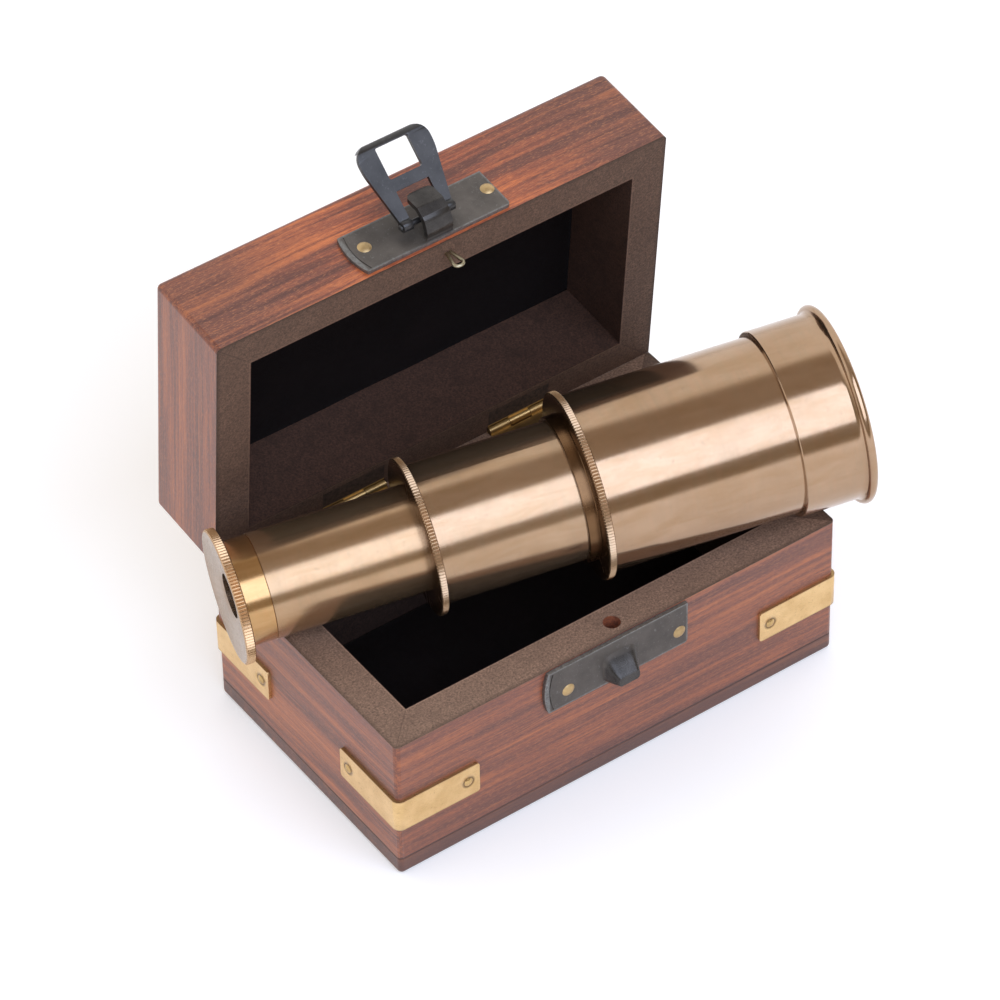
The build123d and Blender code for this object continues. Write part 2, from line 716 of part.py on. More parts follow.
ring_edge = 0.2
with BuildPart() as middle_ring:
    with BuildSketch(half_section):
        band(middle_ring_start, middle_ring_end, small_radius + slide_fit, middle_ring_radius)
        band(middle_ring_end - 0.1, small_end - bush_length - bush_gap, small_radius + slide_fit, middle_bore)
    revolve(axis=turning_axis)
    knurled_rim = edges().filter_by(GeomType.CIRCLE)
    knurled_rim = knurled_rim.filter_by(lambda edge: abs(edge.radius - middle_ring_radius) < 0.01)
    chamfer(knurled_rim, ring_edge)
middle_ring.part.label = "middle_ring"
export_step(middle_ring.part, "parts/middle_ring.step")

with BuildPart() as middle_draw_tube:
    with BuildSketch(half_section):
        band(middle_ring_end, middle_end, middle_bore, middle_radius)
    revolve(axis=turning_axis)
middle_draw_tube.part.label = "middle_draw_tube"
export_step(middle_draw_tube.part, "parts/middle_draw_tube.step")

with BuildPart() as middle_guide_bush:
    with BuildSketch(half_section):
        band(middle_end - bush_length, middle_end, middle_radius, barrel_bore - slide_fit)
    revolve(axis=turning_axis)
middle_guide_bush.part.label = "middle_guide_bush"
export_step(middle_guide_bush.part, "parts/middle_guide_bush.step")

barrel_ring_bore = middle_radius + slide_fit
with BuildPart() as barrel_ring:
    with BuildSketch(half_section):
        band(barrel_lip_start, barrel_ring_start + 0.1, barrel_ring_bore, barrel_lip_radius)
        band(barrel_ring_start, barrel_ring_end, barrel_ring_bore, barrel_ring_radius)
        band(barrel_ring_end - 0.1, middle_end - bush_length - bush_gap, barrel_ring_bore, barrel_bore)
    revolve(axis=turning_axis)
    knurled_rim = edges().filter_by(GeomType.CIRCLE)
    knurled_rim = knurled_rim.filter_by(lambda edge: abs(edge.radius - barrel_ring_radius) < 0.01)
    chamfer(knurled_rim, ring_edge)
    lip_rim = edges().filter_by(GeomType.CIRCLE)
    lip_rim = lip_rim.filter_by(lambda edge: abs(edge.radius - barrel_lip_radius) < 0.01)
    chamfer(lip_rim.sort_by(turning_axis)[0], ring_edge)
barrel_ring.part.label = "barrel_ring"
export_step(barrel_ring.part, "parts/barrel_ring.step")

snap_start = barrel_end - 2.0
snap_end = barrel_end - 1.2
snap_seat = barrel_radius - 0.25
with BuildPart() as chamber_snap_ring:
    with BuildSketch(half_section):
        band(snap_start, snap_end, snap_seat, sleeve_bore + 0.4)
    revolve(axis=turning_axis)
chamber_snap_ring.part.label = "chamber_snap_ring"
export_step(chamber_snap_ring.part, "parts/chamber_snap_ring.step")

with BuildPart() as barrel_tube:
    with BuildSketch(half_section):
        band(barrel_ring_end, barrel_end, barrel_bore, barrel_radius)
    revolve(axis=turning_axis)
    add(chamber_snap_ring.part, mode=Mode.SUBTRACT)
barrel_tube.part.label = "barrel_tube"
export_step(barrel_tube.part, "parts/barrel_tube.step")

# ---- turning object chamber: sleeve and bead, two glasses, and loose coloured chips between them ----
shelf_start = barrel_end + 0.4
glass_seat = shelf_start + 0.6
glass_thickness = 1.0
cell_depth = 4.0
outer_glass = glass_seat + glass_thickness + cell_depth
ring_start = outer_glass + glass_thickness
mouth = scope_end - 0.8
with BuildPart() as chamber_sleeve:
    with BuildSketch(half_section):
        with BuildLine():
            Polyline(
                (sleeve_start, sleeve_bore),
                (sleeve_start, sleeve_radius - 0.15),
                (sleeve_start + 0.15, sleeve_radius),
                (sleeve_end, sleeve_radius),
            )
            cove_top = (bead_centre - bead_radius, bead_middle)
            TangentArc((sleeve_end, sleeve_radius), cove_top, tangent=(1, 0))
            ThreePointArc(
                cove_top, (bead_centre, bead_middle + bead_radius), (scope_end, bead_middle)
            )
            Polyline(
                (scope_end, bead_middle),
                (scope_end, bead_middle - 0.3),
                (mouth, sleeve_bore),
                (glass_seat, sleeve_bore),
                (glass_seat, sleeve_bore - 0.95),
                (shelf_start, sleeve_bore - 0.95),
                (shelf_start, sleeve_bore),
                (sleeve_start, sleeve_bore),
            )
        make_face()
    revolve(axis=turning_axis)
    with BuildSketch(half_section):
        band(snap_start - 0.1, snap_end + 0.1, sleeve_bore - 0.1, sleeve_bore + 0.45)
    revolve(axis=turning_axis, mode=Mode.SUBTRACT)
chamber_sleeve.part.label = "chamber_sleeve"
export_step(chamber_sleeve.part, "parts/chamber_sleeve.step")

glass_radius = sleeve_bore - 0.05
for name, station in (("chamber_inner_glass", glass_seat), ("chamber_outer_glass", outer_glass)):
    with BuildPart() as glass:
        with BuildSketch(across(station)):
            Circle(glass_radius)
        extrude(amount=glass_thickness)
    glass.part.label = name
    export_step(glass.part, f"parts/{name}.step")

spacer_bore = glass_radius - 1.1
with BuildPart() as chamber_spacer_ring:
    with BuildSketch(half_section):
        band(glass_seat + glass_thickness, outer_glass, spacer_bore, glass_radius)
    revolve(axis=turning_axis)
chamber_spacer_ring.part.label = "chamber_spacer_ring"
export_step(chamber_spacer_ring.part, "parts/chamber_spacer_ring.step")

with BuildPart() as chamber_retaining_ring:
    with BuildSketch(half_section):
        band(ring_start, mouth, glass_radius - 1.3, glass_radius)
    revolve(axis=turning_axis)
chamber_retaining_ring.part.label = "chamber_retaining_ring"
export_step(chamber_retaining_ring.part, "parts/chamber_retaining_ring.step")

# The chips lie in rows at the bottom of the cell, a colour to each node.
chip_plane = across(glass_seat + glass_thickness + cell_depth / 2)
chip_names = ("red_chips", "amber_chips", "green_chips", "blue_chips")
chip_places = []
row_height = chip_pitch * math.sqrt(3) / 2
for row in range(4):
    v = -spacer_bore + chip_radius + 0.4 + row * row_height
    for column in range(-5, 6):
        u = (column + 0.5 * (row % 2)) * chip_pitch
        if math.hypot(u, v) < spacer_bore - chip_radius - 0.15:
            chip_places.append((u, v))

for colour, name in enumerate(chip_names):
    with BuildPart() as chips:
        for number, (u, v) in enumerate(chip_places[colour :: len(chip_names)]):
            place = chip_plane.from_local_coords((u, v, 0))
            if number % 3 == 0:
                with Locations(place):
                    Sphere(chip_radius - 0.1)
            else:
                with BuildSketch(Plane(place, x_dir=scope_side, z_dir=scope_axis)):
                    RegularPolygon(chip_radius, 3 + number % 3, rotation=40 * number)
                extrude(amount=chip_radius - 0.2, both=True)
    chips.part.label = name
    export_step(chips.part, f"parts/{name}.step")
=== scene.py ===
import math
import random

import bpy
from mathutils import Matrix, Vector


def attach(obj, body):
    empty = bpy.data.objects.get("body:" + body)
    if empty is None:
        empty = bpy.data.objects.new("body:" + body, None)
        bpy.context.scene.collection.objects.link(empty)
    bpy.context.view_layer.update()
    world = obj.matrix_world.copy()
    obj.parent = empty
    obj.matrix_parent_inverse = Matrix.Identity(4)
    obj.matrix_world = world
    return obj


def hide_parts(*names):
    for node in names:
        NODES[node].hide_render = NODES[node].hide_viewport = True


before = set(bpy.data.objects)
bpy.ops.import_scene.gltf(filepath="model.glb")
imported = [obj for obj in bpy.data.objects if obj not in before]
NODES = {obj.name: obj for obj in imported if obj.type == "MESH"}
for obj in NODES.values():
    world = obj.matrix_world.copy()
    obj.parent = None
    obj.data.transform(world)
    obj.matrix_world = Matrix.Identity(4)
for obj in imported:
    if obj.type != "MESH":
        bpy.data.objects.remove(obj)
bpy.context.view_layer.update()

MM = 0.001
JOIN_WITHIN = 0.001 * MM  # corners nearer than this are one corner

# ---------------------------------------------------------------- sizes of the case, in millimetres
CASE_X, CASE_Y = 50.0, 29.6  # half the width and the depth outside
ROOM_X, ROOM_Y = 42.6, 22.2  # half the width and the depth inside
JOINT = 33.3  # height of the base's rim
SEAM = 4.0  # height of the seam above the bottom board
HINGE_BACK = 28.7  # how far behind the case's middle the hinges turn
STRAP_MIDDLE = 15.75  # height of the corner straps' middle
STRAP_HALF = 3.65  # half their height
NAIL_X, NAIL_Y = 34.7, 14.3  # the straps' nails, from the case's middle
HOLE_X, HOLE_Y = 0.6, -26.4  # the hole for the loop in the front rim
LATCH_X = -0.8  # middle of the latch plates
PLATE_HALF_X, PLATE_HALF_Z = 15.85, 5.0  # half the width and the height of those plates
PLATE_BASE_LOW = 22.8  # lower edge of the base's plate
PLATE_LID_LOW = 0.9  # lower edge of the lid's plate, above the joint

# ---------------------------------------------------------------- frames of the lid and the scope
OPEN = math.radians(84.6)
HINGE = Vector((0.0, HINGE_BACK, JOINT))
LID_BACK = Vector((0.0, math.cos(OPEN), -math.sin(OPEN)))
LID_UP = Vector((0.0, math.sin(OPEN), math.cos(OPEN)))
LID_ORIGIN = HINGE - LID_BACK * HINGE_BACK
LID_ROWS = Matrix((Vector((1, 0, 0)), LID_BACK, LID_UP))
FLAT = Matrix.Identity(3)
ZERO = Vector((0, 0, 0))

YAW = math.radians(-16.1)
PITCH = math.radians(4.5)
AXIS = Vector((math.cos(PITCH) * math.cos(YAW), math.cos(PITCH) * math.sin(YAW), math.sin(PITCH)))
SIDE = Vector((-math.sin(YAW), math.cos(YAW), 0.0))
LIFT = AXIS.cross(SIDE)
SCOPE_MIDDLE = Vector((0.0, -4.15, 47.7))
MIDDLE_STATION = 60.9  # from the eye end to SCOPE_MIDDLE
SCOPE_ORIGIN = SCOPE_MIDDLE - AXIS * MIDDLE_STATION
SCOPE_ROWS = Matrix((AXIS, SIDE, LIFT))


def on_lid(x, y, z):
    """The place in millimetres of a point given as it is with the lid shut, z above the joint."""
    return LID_ORIGIN + Vector((x, 0, 0)) + LID_BACK * y + LID_UP * z


def on_scope(station, radius, angle):
    """The place in millimetres of a point of the scope. The angle is 0 to the back and 90 degrees up."""
    sideways = SIDE * (radius * math.cos(angle))
    upwards = LIFT * (radius * math.sin(angle))
    return SCOPE_ORIGIN + AXIS * station + sideways + upwards


def srgb(r, g, b):
    """A colour given as the eye sees it, 0 to 255, as linear light."""
    out = []
    for value in (r, g, b):
        value = value / 255
        out.append(value / 12.92 if value <= 0.04045 else ((value + 0.055) / 1.055) ** 2.4)
    return (*out, 1.0)


def tint(colour, red, green=None, blue=None):
    """The colour with its parts multiplied, all by red if that alone is given."""
    shares = (red, red, red) if green is None else (red, green, blue)
    return [min(1.0, part * share) for part, share in zip(colour[:3], shares)] + [1]


# ---------------------------------------------------------------- node helpers
class Build:
    """One material, with short calls for its nodes."""

    def __init__(self, name, **values):
        self.material = bpy.data.materials.new(name)
        self.material.use_nodes = True
        self.tree = self.material.node_tree
        self.shader = self.tree.nodes["Principled BSDF"]
        for key, value in values.items():
            self.shader.inputs[key.replace("_", " ")].default_value = value

    def add(self, kind, inputs=None, **settings):
        made = self.tree.nodes.new("ShaderNode" + kind)
        for key, value in settings.items():
            setattr(made, key, value)
        for key, value in (inputs or {}).items():
            self.plug(value, made.inputs[key])
        return made

    def plug(self, value, socket):
        if isinstance(value, bpy.types.NodeSocket):
            self.tree.links.new(value, socket)
        else:
            socket.default_value = value

    def set(self, **values):
        for key, value in values.items():
            self.plug(value, self.shader.inputs[key.replace("_", " ")])

    def math(self, operation, a, b=0.0, c=0.0, clamp=False):
        made = self.add("Math", operation=operation, use_clamp=clamp)
        for socket, value in zip(made.inputs, (a, b, c)):
            self.plug(value, socket)
        return made.outputs[0]

    def local(self, rows, origin):
        """Millimetres in a frame of its own, from the object's coordinates."""
        coord = self.add("TexCoord").outputs["Object"]
        euler = rows.to_euler("XYZ")
        shift = rows @ origin
        placing = {
            "Vector": coord,
            "Rotation": tuple(euler),
            "Scale": (1 / MM, 1 / MM, 1 / MM),
            "Location": -shift,
        }
        return self.add("Mapping", placing, vector_type="POINT").outputs[0]

    def stretch(self, vector, scale):
        return self.add("VectorMath", {0: vector, 1: scale}, operation="MULTIPLY").outputs[0]

    def split(self, vector):
        made = self.add("SeparateXYZ", {0: vector})
        return made.outputs[0], made.outputs[1], made.outputs[2]

    def join(self, x, y, z):
        return self.add("CombineXYZ", {0: x, 1: y, 2: z}).outputs[0]

    def noise(self, vector, scale, detail=3.0, rough=0.55, distort=0.0):
        made = self.add("TexNoise", {"Vector": vector, "Scale": scale, "Detail": detail, "Roughness": rough,
                                     "Distortion": distort})
        return made.outputs["Fac"]

    def ramp(self, fac, *stops):
        """Colours (or greys, given as one number) along 0 to 1."""
        made = self.add("ValToRGB", {0: fac})
        band = made.color_ramp
        while len(band.elements) < len(stops):
            band.elements.new(0.5)
        for element, (place, colour) in zip(band.elements, stops):
            element.position = place
            element.color = colour if hasattr(colour, "__len__") else (colour, colour, colour, 1)
        return made.outputs[0]

    def range(self, value, low, high, out_low=0.0, out_high=1.0):
        made = self.add("MapRange", {0: value, 1: low, 2: high, 3: out_low, 4: out_high}, clamp=True)
        return made.outputs[0]

    def mix(self, fac, a, b, blend="MIX"):
        made = self.add("Mix", data_type="RGBA", blend_type=blend)
        for index, value in ((0, fac), (6, a), (7, b)):
            self.plug(value, made.inputs[index])
        return made.outputs[2]

    def blend(self, fac, a, b):
        made = self.add("Mix", data_type="FLOAT")
        for index, value in ((0, fac), (2, a), (3, b)):
            self.plug(value, made.inputs[index])
        return made.outputs[0]

    def apart(self, value, centre):
        """How far the value is from the centre, either way."""
        return self.math("ABSOLUTE", self.math("SUBTRACT", value, centre))

    def distance(self, a, centre_a, b, centre_b):
        """How far the point (a, b) is from (centre_a, centre_b)."""
        across = self.math("POWER", self.math("SUBTRACT", a, centre_a), 2.0)
        along = self.math("POWER", self.math("SUBTRACT", b, centre_b), 2.0)
        return self.math("SQRT", self.math("ADD", across, along))

    def past(self, x, y, half_x, half_y):
        """How far x and y are past the sides of a rectangle round the middle, less than 0 inside them."""
        past_x = self.math("SUBTRACT", self.math("ABSOLUTE", x), half_x)
        past_y = self.math("SUBTRACT", self.math("ABSOLUTE", y), half_y)
        return past_x, past_y

    def bump(self, height, depth_mm, strength=1.0, under=None):
        inputs = {"Height": height, "Distance": depth_mm * MM, "Strength": strength}
        if under is not None:
            inputs["Normal"] = under
        return self.add("Bump", inputs).outputs[0]


# ---------------------------------------------------------------- wood
RIM_BASE = srgb(128, 101, 83)
# painted shade: the base's right rim is coloured darker than the rest of its rim
RIM_RIGHT_PAINTED_SHADE = srgb(98, 76, 62)
RIM_LID = srgb(90, 66, 51)
INNER_BASE = srgb(62, 44, 36)
INNER_LID = srgb(74, 49, 37)
SAWN_BASE = (JOINT - 0.28, 1)  # the base's wood is sawn above this height
SAWN_LID = (0.28, -1)  # and the lid's below this one
COAT = 0.2


def rough_wood(m, p, rim_colour, inner_colour):
    """The colours of the matt sawn rim and of the stained inside, with the noises they are made from."""
    x, y, _ = m.split(p)
    cloud = m.noise(m.stretch(p, (0.22, 0.22, 0.22)), 1.0, 3.0, 0.6)
    fuzz = m.noise(m.stretch(p, (2.6, 2.6, 2.6)), 1.0, 5.0, 0.75)
    scuff = m.noise(m.stretch(p, (0.5, 0.5, 0.5)), 1.0, 4.0, 0.65, 1.6)
    sawn = m.mix(m.range(fuzz, 0.34, 0.66), tint(rim_colour, 0.45), tint(rim_colour, 1.75))
    sawn = m.mix(m.range(cloud, 0.35, 0.7, 0.0, 0.35), sawn, tint(rim_colour, 0.7))
    sawn = m.mix(m.range(scuff, 0.62, 0.74, 0.0, 0.35), sawn, tint(rim_colour, 1.9))
    past_room = m.past(x, y, ROOM_X, ROOM_Y)
    mitre = m.math("ABSOLUTE", m.math("SUBTRACT", *past_room))
    sawn = m.mix(m.range(mitre, 0.22, 0.05, 0.0, 0.45), sawn, tint(rim_colour, 0.3))
    edge = m.math("MAXIMUM", *m.past(x, y, CASE_X, CASE_Y))
    sawn = m.mix(m.range(edge, -0.9, -0.1, 0.0, 0.55), sawn, tint(rim_colour, 0.35))
    # painted highlight: a thin lighter line along the rim's inner lip
    lip = m.math("MAXIMUM", *past_room)
    lip_highlight = m.math("MULTIPLY", m.range(lip, 0.45, 0.15), m.range(scuff, 0.35, 0.6, 0.15, 0.7))
    sawn = m.mix(lip_highlight, sawn, tint(rim_colour, 2.2))
    stain = m.mix(m.range(fuzz, 0.36, 0.66), tint(inner_colour, 0.5), tint(inner_colour, 1.5))
    stain = m.mix(m.range(scuff, 0.58, 0.72, 0.0, 0.45), stain, tint(inner_colour, 2.1))
    stain = m.mix(m.range(cloud, 0.5, 0.3, 0.0, 0.5), stain, tint(inner_colour, 0.45))
    return sawn, stain, fuzz, scuff


def wood(name, along, rows, origin, seed, sawn_part=None, rim_colour=None, inner_colour=None, dark=0.0,
         warm=0.0, hole=False):
    """Stained straight-grained board. along is 0 or 1, the axis of its length. sawn_part is the height, in
    the board's own frame, where the matt sawn rim starts, and the side it is on, 1 above and -1 below.
    dark and warm are how far the board is stained dark, or reddened in its middle. hole is for the board
    with the loop's hole."""
    m = Build(name, IOR=1.5, Coat_Roughness=0.24, Specular_IOR_Level=0.42)
    p = m.local(rows, origin)
    x, y, z = m.split(p)
    length, cross = (x, y) if along == 0 else (y, x)
    # the grain wanders a little across the board and slants along it
    wander = m.noise(m.join(m.math("MULTIPLY", length, 0.018), seed, m.math("MULTIPLY", z, 0.03)), 1.0, 2.0)
    wander = m.math("MULTIPLY", m.math("SUBTRACT", wander, 0.5), 3.2)
    slant = m.math("MULTIPLY", length, 0.012)
    cross = m.math("ADD", cross, m.math("ADD", wander, seed * 7.3))
    height = m.math("ADD", z, m.math("ADD", wander, slant))
    grain = m.join(m.math("ADD", length, seed * 31.0), cross, height)
    broad = m.noise(m.stretch(grain, (0.011, 0.30, 0.30)), 1.0, 2.0, 0.5)
    middle = m.noise(m.stretch(grain, (0.022, 0.95, 0.95)), 1.0, 3.0, 0.55)
    streak = m.noise(m.stretch(grain, (0.03, 1.9, 1.9)), 1.0, 2.0, 0.6)
    fibre = m.noise(m.stretch(grain, (0.55, 6.5, 6.5)), 1.0, 4.0, 0.7)
    fleck = m.noise(m.stretch(grain, (1.1, 5.6, 5.6)), 1.0, 3.0, 0.65)
    tone = m.math("ADD", m.math("MULTIPLY", broad, 0.50), m.math("MULTIPLY", middle, 0.50))
    tone = m.math("ADD", tone, m.math("MULTIPLY", m.math("SUBTRACT", fibre, 0.5), 0.42))
    colour = m.ramp(
        tone,
        (0.34, srgb(92, 54, 45)),
        (0.45, srgb(110, 64, 50)),
        (0.53, srgb(129, 73, 53)),
        (0.61, srgb(152, 86, 54)),
        (0.70, srgb(176, 103, 62)),
    )
    colour = m.mix(m.range(streak, 0.60, 0.72, 0.0, 0.42), colour, srgb(186, 108, 60))
    colour = m.mix(m.range(streak, 0.42, 0.30, 0.0, 0.45), colour, srgb(76, 42, 36))
    colour = m.mix(m.range(fleck, 0.50, 0.70, 0.0, 0.34), colour, srgb(196, 122, 78))
    if dark:
        colour = m.mix(dark, colour, srgb(74, 54, 49))
    if warm:
        towards_middle = m.range(m.apart(x, 2.0), 40.0, 10.0, 0.0, 1.0)
        glow = m.math("MULTIPLY", towards_middle, m.range(broad, 0.30, 0.62, 0.55, 1.0))
        fiery = m.ramp(
            tone,
            (0.38, srgb(112, 56, 40)),
            (0.50, srgb(172, 84, 48)),
            (0.60, srgb(226, 124, 62)),
        )
        colour = m.mix(m.math("MULTIPLY", glow, warm), colour, fiery)
        colour = m.mix(m.range(middle, 0.48, 0.36, 0.0, 0.5), colour, srgb(88, 42, 32))
        colour = m.mix(m.range(fleck, 0.54, 0.70, 0.0, 0.25), colour, srgb(222, 146, 92))
    if rows is FLAT:
        colour = m.mix(m.range(m.apart(z, SEAM), 0.35, 0.1, 0.0, 0.7), colour, srgb(40, 28, 25))
        # painted shade: the lowest millimetre darkens where the base meets the floor
        colour = m.mix(m.range(z, 1.0, 0.2, 0.0, 0.5), colour, srgb(50, 36, 32))
    rough = m.range(fibre, 0.3, 0.7, 0.34, 0.46)
    coat = COAT
    relief = m.math("ADD", m.math("MULTIPLY", fibre, 0.6), m.math("MULTIPLY", fleck, 0.4))
    if sawn_part is not None:
        level, side = sawn_part
        matt = m.math("GREATER_THAN" if side > 0 else "LESS_THAN", z, level)
        inside = m.math("LESS_THAN", m.math("MAXIMUM", *m.past(x, y, ROOM_X, ROOM_Y)), 0.12)
        sawn, stain, fuzz, scuff = rough_wood(m, p, rim_colour, inner_colour)
        colour = m.mix(inside, m.mix(matt, colour, sawn), stain)
        if hole:
            bored = m.range(m.distance(x, HOLE_X, y, HOLE_Y), 1.7, 1.45)
            bored = m.math("MULTIPLY", bored, m.math("GREATER_THAN", z, 26.0))
            bare = m.mix(m.range(scuff, 0.3, 0.7), srgb(128, 74, 40), srgb(212, 146, 92))
            colour = m.mix(bored, colour, bare)
        plain = m.math("MAXIMUM", matt, inside)
        rough = m.blend(plain, rough, 0.82)
        coat = m.blend(plain, COAT, 0.0)
        relief = m.blend(plain, relief, m.math("MULTIPLY", fuzz, 2.6))
    m.set(Base_Color=colour, Roughness=rough, Coat_Weight=coat, Normal=m.bump(relief, 0.05, 0.9))
    return m.material


def paint(material, *names):
    for name in names:
        NODES[name].data.materials.clear()
        NODES[name].data.materials.append(material)


WALLS = (("front", 0, 0.0), ("back", 0, 3.0), ("left", 1, 1.4), ("right", 1, 5.1))
for side, along, seed in WALLS:
    is_front = side == "front"
    # the right wall's rim takes the darker colour, a painted shade
    rim_colour = RIM_RIGHT_PAINTED_SHADE if side == "right" else RIM_BASE
    base_wood = wood(f"base_wood_{side}", along, FLAT, ZERO, seed, SAWN_BASE, rim_colour, INNER_BASE,
                     hole=is_front)
    lid_wood = wood(f"lid_wood_{side}", along, LID_ROWS, LID_ORIGIN, seed + 0.35, SAWN_LID, RIM_LID,
                    INNER_LID, warm=0.92 if is_front else 0.0)
    paint(base_wood, f"base_wall_{side}")
    paint(lid_wood, f"lid_wall_{side}")
paint(wood("panel_wood", 0, LID_ROWS, LID_ORIGIN, 8.2), "lid_panel")
paint(wood("board_wood", 0, FLAT, ZERO, 11.0, dark=0.62), "base_bottom_board")


# ---------------------------------------------------------------- metals
WARM_BRASS = (0.52, 0.33, 0.18, 1)
CAP_KNURL = 12.4  # radius inside the knurled edge of the cap
MIDDLE_KNURL = 14.5  # of the middle ring
BARREL_KNURL = 17.5  # of the barrel's ring
BETWEEN_RINGS = 50.0  # a station between those two rings


def turned_brass(name, colour, rough, mottle=0.35, lines=0.5, metallic=0.93, dark_face=False,
                 warm_edge=False):
    """Drawn and antiqued brass, with fine lines round the scope's axis and faint rubbing along it.
    mottle is how far it is clouded and lines how deep its lines are. dark_face paints the rings' faces
    inside their knurled edges dark, a painted dark reflection, and warm_edge brightens the cap's."""
    m = Build(name, Metallic=metallic, Specular_IOR_Level=0.6)
    p = m.local(SCOPE_ROWS, SCOPE_ORIGIN)
    s, a, b = m.split(p)
    angle = m.math("ARCTAN2", b, a)
    round_about = m.join(s, m.math("MULTIPLY", angle, 2.0), 0.0)
    ring = m.noise(m.stretch(round_about, (9.0, 0.9, 1.0)), 1.0, 4.0, 0.7)
    band = m.noise(m.stretch(round_about, (1.3, 0.5, 1.0)), 1.0, 3.0, 0.6)
    rub = m.noise(m.stretch(round_about, (0.10, 14.0, 1.0)), 1.0, 3.0, 0.6)
    cloud = m.noise(m.stretch(p, (0.10, 0.10, 0.10)), 1.0, 4.0, 0.62)
    spots = m.noise(m.stretch(p, (0.9, 0.9, 0.9)), 1.0, 4.0, 0.6)
    stain = m.noise(m.stretch(round_about, (0.07, 2.2, 1.0)), 1.0, 4.0, 0.6, 0.4)
    pits = m.noise(m.stretch(p, (3.2, 3.2, 3.2)), 1.0, 3.0, 0.6)
    dull = tint(colour, 0.72)
    pinkish = tint(colour, 1.05, 0.94, 0.92)
    brownish = tint(colour, 0.8, 0.72, 0.6)
    shade = m.mix(m.range(cloud, 0.35, 0.68, 0.0, mottle), colour, dull)
    shade = m.mix(m.range(band, 0.4, 0.65, 0.0, 0.4), shade, pinkish)
    shade = m.mix(m.range(stain, 0.42, 0.66, 0.0, 0.55), shade, brownish)
    shade = m.mix(m.range(spots, 0.62, 0.74, 0.0, 0.5), shade, dull)
    shade = m.mix(m.range(pits, 0.68, 0.76, 0.0, 0.45), shade, tint(colour, 0.4))
    shade = m.mix(m.range(pits, 0.30, 0.22, 0.0, 0.5), shade, tint(colour, 1.5))
    radius = m.distance(a, 0.0, b, 0.0)
    if warm_edge:
        shade = m.mix(m.range(radius, CAP_KNURL, CAP_KNURL + 0.25), shade, WARM_BRASS)
    if dark_face:
        middle_rim = m.range(radius, MIDDLE_KNURL, MIDDLE_KNURL + 0.35)
        middle_rim = m.math("MULTIPLY", middle_rim, m.math("LESS_THAN", s, BETWEEN_RINGS))
        rim = m.math("MAXIMUM", middle_rim, m.range(radius, BARREL_KNURL, BARREL_KNURL + 0.35))
        # painted dark reflection: the faces inside the knurled edges are coloured dark
        painted_dark_reflection = tint(colour, 0.30, 0.23, 0.17)
        face = m.mix(m.range(cloud, 0.35, 0.65), painted_dark_reflection, tint(painted_dark_reflection, 1.5))
        shade = m.mix(rim, face, shade)
    uneven = m.math("ADD", m.range(ring, 0.3, 0.7, -0.02, 0.03), m.range(rub, 0.45, 0.75, 0.0, 0.03))
    rough = m.math("ADD", m.math("ADD", uneven, rough), m.range(cloud, 0.4, 0.7, 0.0, 0.04))
    relief = m.math("ADD", m.math("MULTIPLY", ring, lines), m.math("MULTIPLY", rub, 0.25))
    m.set(Base_Color=shade, Roughness=rough, Normal=m.bump(relief, 0.0022, 0.6))
    return m.material


def sheet_metal(name, base, worn, rough, metallic, wear=0.5, relief=0.01, rows=FLAT, origin=ZERO, trim=None,
                boss=None):
    """Rolled sheet with faint marks. wear is how far its rubbed places take the worn colour. trim gives how
    near a point is to an edge that is rubbed lighter. boss is the colour painted on what stands proud of
    the case's front, a painted dark reflection; that part is also made shinier."""
    m = Build(name, Metallic=metallic)
    p = m.local(rows, origin)
    cloud = m.noise(m.stretch(p, (0.25, 0.25, 0.25)), 1.0, 4.0, 0.6)
    grain = m.noise(m.stretch(p, (6.0, 6.0, 6.0)), 1.0, 4.0, 0.7)
    mark = m.noise(m.stretch(p, (1.6, 1.6, 1.6)), 1.0, 4.0, 0.65, 0.8)
    shade = m.mix(m.range(cloud, 0.35, 0.7), base, tint(base, 0.7))
    shade = m.mix(m.range(mark, 0.6, 0.72, 0.0, 0.4), shade, worn)
    if trim is not None:
        rubbed = m.math("MULTIPLY", trim(m, p), m.range(mark, 0.35, 0.6, 0.3, 1.0))
        shade = m.mix(m.math("MULTIPLY", rubbed, wear), shade, worn)
    rough = m.math("ADD", m.range(grain, 0.3, 0.7, -0.05, 0.07), rough)
    if boss is not None:
        proud = m.range(m.split(p)[1], -CASE_Y - 1.1, -CASE_Y - 1.5)
        # painted dark reflection: what stands proud of the case's front is coloured darker
        proud_reflection_colour = m.mix(m.range(cloud, 0.35, 0.65), boss, tint(boss, 1.9))
        shade = m.mix(proud, shade, proud_reflection_colour)
        rough = m.math("SUBTRACT", rough, m.math("MULTIPLY", proud, 0.12))
    m.set(Base_Color=shade, Roughness=rough, Normal=m.bump(grain, relief, 0.6))
    return m.material


aged = turned_brass("aged_brass", (0.45, 0.305, 0.195, 1), 0.125, 0.5)
aged_middle = turned_brass("middle_brass", (0.45, 0.305, 0.19, 1), 0.17, 0.5, metallic=0.88)
aged_small = turned_brass("small_brass", (0.47, 0.31, 0.18, 1), 0.19, 0.5, 0.3, metallic=0.86)
aged_cap = turned_brass("cap_brass", (0.36, 0.265, 0.19, 1), 0.24, 0.5, 0.2, warm_edge=True)
# the rings' faces get a painted dark reflection
aged_ring = turned_brass("knurled_brass", (0.44, 0.305, 0.19, 1), 0.22, 0.5, 0.2, dark_face=True)
golden = turned_brass("collar_brass", (0.54, 0.33, 0.15, 1), 0.15, 0.3)
inner_brass = turned_brass("inner_brass", (0.30, 0.22, 0.15, 1), 0.4)


